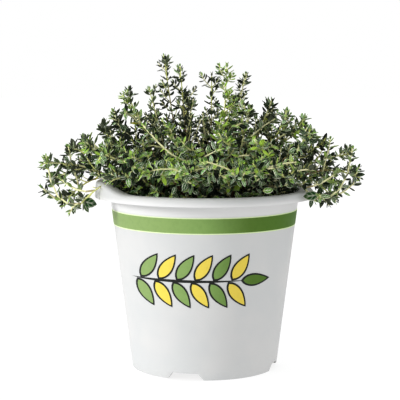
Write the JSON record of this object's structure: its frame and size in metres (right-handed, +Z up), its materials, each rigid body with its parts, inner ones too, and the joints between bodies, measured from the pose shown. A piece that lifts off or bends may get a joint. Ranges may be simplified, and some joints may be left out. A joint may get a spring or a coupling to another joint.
{
  "type": "potted thyme",
  "caption": "Leafy thyme plant in a round tapered nursery pot with a rolled rim, a notched foot ring and a plain printed band.",
  "frame": {"origin": "centre of the pot's foot, on the surface that the pot stands on", "axes": "+Z up along the pot's axis; -Y towards the front of the pot, where its print is; +X to the right as seen from the front"},
  "size_m": [0.18, 0.1449, 0.1721],
  "materials": {
    "pot_plastic": "satin",
    "soil": "matte",
    "foliage": "satin"
  },
  "bodies": {
    "root": {"pot": "pot_plastic", "soil": "soil", "sprig_01": "foliage", "sprig_02": "foliage", "sprig_03": "foliage", "sprig_04": "foliage", "sprig_05": "foliage", "sprig_06": "foliage", "sprig_07": "foliage", "sprig_08": "foliage", "sprig_09": "foliage", "sprig_10": "foliage", "sprig_11": "foliage", "sprig_12": "foliage", "sprig_13": "foliage", "sprig_14": "foliage", "sprig_15": "foliage", "sprig_16": "foliage", "sprig_17": "foliage", "sprig_18": "foliage", "sprig_19": "foliage", "sprig_20": "foliage", "sprig_21": "foliage", "sprig_22": "foliage", "sprig_23": "foliage", "sprig_24": "foliage", "sprig_25": "foliage", "sprig_26": "foliage", "sprig_27": "foliage", "sprig_28": "foliage", "sprig_29": "foliage", "sprig_30": "foliage", "sprig_31": "foliage", "sprig_32": "foliage", "sprig_33": "foliage", "sprig_34": "foliage", "sprig_35": "foliage", "sprig_36": "foliage", "sprig_37": "foliage", "sprig_38": "foliage", "sprig_39": "foliage", "sprig_40": "foliage", "sprig_41": "foliage", "sprig_42": "foliage", "sprig_43": "foliage", "sprig_44": "foliage", "sprig_45": "foliage", "sprig_46": "foliage", "sprig_47": "foliage", "sprig_48": "foliage", "sprig_49": "foliage", "sprig_50": "foliage"}
  },
  "joints": []
}
